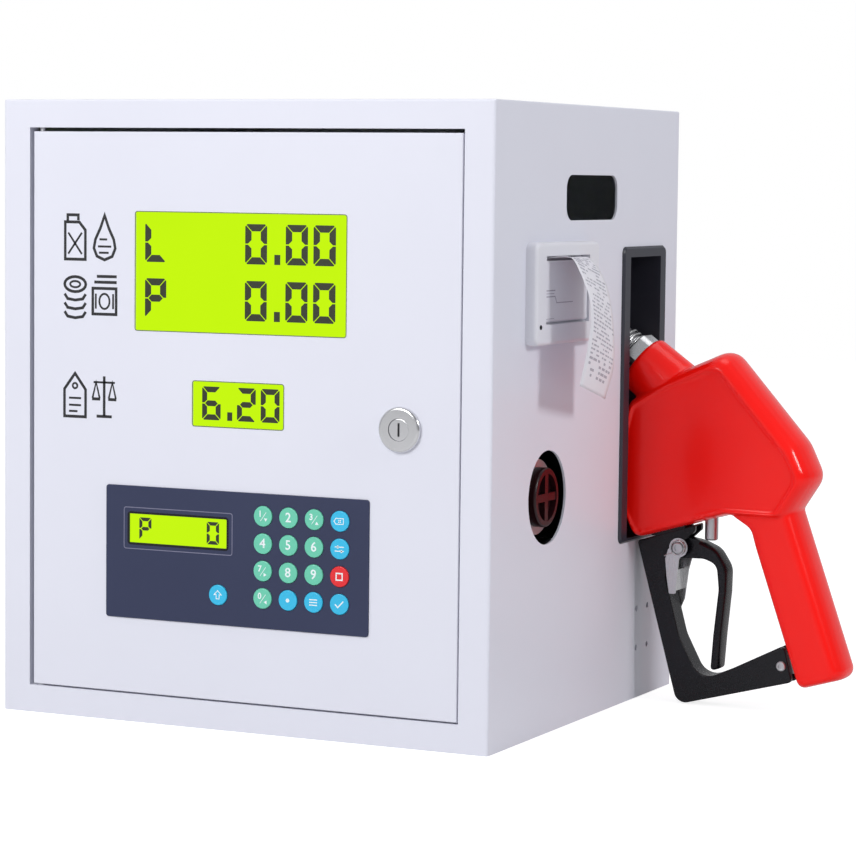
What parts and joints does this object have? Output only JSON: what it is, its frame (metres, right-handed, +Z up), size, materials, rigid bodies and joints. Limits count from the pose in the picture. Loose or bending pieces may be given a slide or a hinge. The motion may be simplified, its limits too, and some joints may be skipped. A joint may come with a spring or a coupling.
{
  "type": "fuel dispenser pump",
  "caption": "Small cabinet fuel dispenser with a keypad display door, receipt printer, nozzle boot and automatic nozzle.",
  "frame": {"origin": "centre of the cabinet's base on the surface it stands on", "axes": "+Z up, -Y is the front with the display door, +X the side with the nozzle"},
  "size_m": [0.5026, 0.326, 0.4],
  "materials": {
    "cabinet_paint": "satin powder coat",
    "zinc_screws": "zinc plated",
    "boot_plastic": "fine grain",
    "printer_plastic": "satin moulded",
    "paper": "thermal paper",
    "pump_iron": "painted casting",
    "meter_aluminium": "cast",
    "pipe_brass": "drawn",
    "plug_plastic": "moulded",
    "electric_plastic": "moulded",
    "display_glass": "clear",
    "lcd": "lit display",
    "circuit_board": "solder mask",
    "overlay_film": "printed film",
    "key_mint": "moulded",
    "key_cyan": "moulded",
    "key_red": "moulded",
    "lock_chrome": "polished",
    "cover_vinyl": "moulded vinyl",
    "nozzle_aluminium": "cast and machined",
    "stainless": "stainless",
    "guard_plastic": "glass filled nylon"
  },
  "bodies": {
    "cabinet": {"side_panel_left": "cabinet_paint", "side_panel_right": "cabinet_paint", "top_panel": "cabinet_paint", "base_plate": "cabinet_paint", "rear_panel": "cabinet_paint", "rear_panel_screws": "zinc_screws", "hinge_pins": "zinc_screws", "nozzle_boot": "boot_plastic", "printer_bezel": "printer_plastic", "printer_chassis": "printer_plastic", "pump_body": "pump_iron", "pump_cover": "pump_iron", "motor_housing": "pump_iron", "meter_body": "meter_aluminium", "meter_cover": "meter_aluminium", "fuel_pipes": "pipe_brass", "power_supply_box": "electric_plastic", "cable_gland": "electric_plastic"},
    "door": {"door_panel": "cabinet_paint", "display_lenses": "display_glass", "lcd_modules": "lcd", "controller_board": "circuit_board", "keypad_overlay": "overlay_film", "lock_housing": "lock_chrome"},
    "lock_plug": {"lock_cylinder": "lock_chrome", "lock_cam": "lock_chrome"},
    "flap": {"printer_lid": "printer_plastic"},
    "paper": {"receipt": "paper"},
    "roll": {"paper_roll": "paper"},
    "port_plug": {"outlet_plug": "plug_plastic"},
    "pump_wheel": {"pump_rotor": "meter_aluminium"},
    "oval_a": {"meter_rotor_a": "meter_aluminium"},
    "oval_b": {"meter_rotor_b": "meter_aluminium"},
    "nozzle": {"nozzle_casting": "nozzle_aluminium", "nozzle_cover": "cover_vinyl", "spout": "nozzle_aluminium", "spout_collar": "nozzle_aluminium", "spout_spring": "stainless", "lever_guard": "guard_plastic", "nozzle_pins": "zinc_screws"},
    "nozzle_lever": {"lever": "guard_plastic"},
    "clip": {"hold_open_clip": "stainless"},
    "stem": {"valve_stem": "zinc_screws"},
    "key_0_cap": {"key_0": "key_mint"},
    "key_point_cap": {"key_point": "key_cyan"},
    "key_menu_cap": {"key_menu": "key_cyan"},
    "key_enter_cap": {"key_enter": "key_cyan"},
    "key_7_cap": {"key_7": "key_mint"},
    "key_8_cap": {"key_8": "key_mint"},
    "key_9_cap": {"key_9": "key_mint"},
    "key_stop_cap": {"key_stop": "key_red"},
    "key_4_cap": {"key_4": "key_mint"},
    "key_5_cap": {"key_5": "key_mint"},
    "key_6_cap": {"key_6": "key_mint"},
    "key_set_cap": {"key_set": "key_cyan"},
    "key_1_cap": {"key_1": "key_mint"},
    "key_2_cap": {"key_2": "key_mint"},
    "key_3_cap": {"key_3": "key_mint"},
    "key_clear_cap": {"key_clear": "key_cyan"},
    "key_shift_cap": {"key_shift": "key_cyan"}
  },
  "joints": [
    {"name": "door_hinge", "type": "hinge", "parent": "cabinet", "child": "door", "pos_m": [-0.148, -0.15, 0.2], "axis": [0, 0, -1], "range_deg": [0, 100]},
    {"name": "lock_turn", "type": "hinge", "parent": "door", "child": "lock_plug", "pos_m": [0.1137, -0.15, 0.1978], "axis": [0, -1, 0], "range_deg": [0, 90]},
    {"name": "printer_flap_hinge", "type": "hinge", "parent": "cabinet", "child": "flap", "pos_m": [0.17925, -0.057, 0.26475], "axis": [0, 1, 0], "range_deg": [0, 60]},
    {"name": "receipt_swing", "type": "hinge", "parent": "flap", "child": "paper", "pos_m": [0.177, -0.057, 0.302], "axis": [0, 1, 0], "range_deg": [-60, 0]},
    {"name": "paper_roll_spin", "type": "hinge", "parent": "cabinet", "child": "roll", "pos_m": [0.148, -0.057, 0.28315], "axis": [0, 1, 0], "continuous": true},
    {"name": "plug_pull", "type": "slide", "parent": "cabinet", "child": "port_plug", "axis": [1, 0, 0], "range_m": [0, 0.045]},
    {"name": "pump_spin", "type": "hinge", "parent": "cabinet", "child": "pump_wheel", "pos_m": [0.026, 0.06, 0.062], "axis": [1, 0, 0], "continuous": true},
    {"name": "meter_spin_a", "type": "hinge", "parent": "cabinet", "child": "oval_a", "pos_m": [0.098, -0.086, 0.1515], "axis": [0, 0, 1], "continuous": true},
    {"name": "meter_spin_b", "type": "hinge", "parent": "cabinet", "child": "oval_b", "pos_m": [0.098, -0.049, 0.1515], "axis": [0, 0, 1], "continuous": true},
    {"name": "nozzle_lift_off", "type": "slide", "parent": "cabinet", "child": "nozzle", "axis": [0.9954, 0, 0.0958], "range_m": [0, 0.2]},
    {"name": "lever_squeeze", "type": "hinge", "parent": "nozzle", "child": "nozzle_lever", "pos_m": [0.2077, 0.092, 0.106], "axis": [0, -1, 0], "range_deg": [0, 14], "stiffness_Nm_per_rad": 0.4, "springref_deg": -11.46},
    {"name": "stem_rise", "type": "slide", "parent": "nozzle", "child": "stem", "axis": [0, 0, 1], "range_m": [0, 0.0036]},
    {"name": "clip_swing", "type": "hinge", "parent": "nozzle", "child": "clip", "pos_m": [0.2077, 0.092, 0.106], "axis": [0, -1, 0], "range_deg": [0, 22], "stiffness_Nm_per_rad": 0.02, "springref_deg": -11.46},
    {"name": "key_0_press", "type": "slide", "parent": "door", "child": "key_0_cap", "axis": [0, 1, 0], "range_m": [0, 0.0005], "stiffness_N_per_m": 300},
    {"name": "key_point_press", "type": "slide", "parent": "door", "child": "key_point_cap", "axis": [0, 1, 0], "range_m": [0, 0.0005], "stiffness_N_per_m": 300},
    {"name": "key_menu_press", "type": "slide", "parent": "door", "child": "key_menu_cap", "axis": [0, 1, 0], "range_m": [0, 0.0005], "stiffness_N_per_m": 300},
    {"name": "key_enter_press", "type": "slide", "parent": "door", "child": "key_enter_cap", "axis": [0, 1, 0], "range_m": [0, 0.0005], "stiffness_N_per_m": 300},
    {"name": "key_7_press", "type": "slide", "parent": "door", "child": "key_7_cap", "axis": [0, 1, 0], "range_m": [0, 0.0005], "stiffness_N_per_m": 300},
    {"name": "key_8_press", "type": "slide", "parent": "door", "child": "key_8_cap", "axis": [0, 1, 0], "range_m": [0, 0.0005], "stiffness_N_per_m": 300},
    {"name": "key_9_press", "type": "slide", "parent": "door", "child": "key_9_cap", "axis": [0, 1, 0], "range_m": [0, 0.0005], "stiffness_N_per_m": 300},
    {"name": "key_stop_press", "type": "slide", "parent": "door", "child": "key_stop_cap", "axis": [0, 1, 0], "range_m": [0, 0.0005], "stiffness_N_per_m": 300},
    {"name": "key_4_press", "type": "slide", "parent": "door", "child": "key_4_cap", "axis": [0, 1, 0], "range_m": [0, 0.0005], "stiffness_N_per_m": 300},
    {"name": "key_5_press", "type": "slide", "parent": "door", "child": "key_5_cap", "axis": [0, 1, 0], "range_m": [0, 0.0005], "stiffness_N_per_m": 300},
    {"name": "key_6_press", "type": "slide", "parent": "door", "child": "key_6_cap", "axis": [0, 1, 0], "range_m": [0, 0.0005], "stiffness_N_per_m": 300},
    {"name": "key_set_press", "type": "slide", "parent": "door", "child": "key_set_cap", "axis": [0, 1, 0], "range_m": [0, 0.0005], "stiffness_N_per_m": 300},
    {"name": "key_1_press", "type": "slide", "parent": "door", "child": "key_1_cap", "axis": [0, 1, 0], "range_m": [0, 0.0005], "stiffness_N_per_m": 300},
    {"name": "key_2_press", "type": "slide", "parent": "door", "child": "key_2_cap", "axis": [0, 1, 0], "range_m": [0, 0.0005], "stiffness_N_per_m": 300},
    {"name": "key_3_press", "type": "slide", "parent": "door", "child": "key_3_cap", "axis": [0, 1, 0], "range_m": [0, 0.0005], "stiffness_N_per_m": 300},
    {"name": "key_clear_press", "type": "slide", "parent": "door", "child": "key_clear_cap", "axis": [0, 1, 0], "range_m": [0, 0.0005], "stiffness_N_per_m": 300},
    {"name": "key_shift_press", "type": "slide", "parent": "door", "child": "key_shift_cap", "axis": [0, 1, 0], "range_m": [0, 0.0005], "stiffness_N_per_m": 300}
  ],
  "couplings": [
    {"joint": "meter_spin_b", "follows": "meter_spin_a", "ratio": -1},
    {"joint": "receipt_swing", "follows": "printer_flap_hinge", "ratio": -1},
    {"joint": "stem_rise", "follows": "lever_squeeze", "m_per_rad": 0.013915}
  ]
}
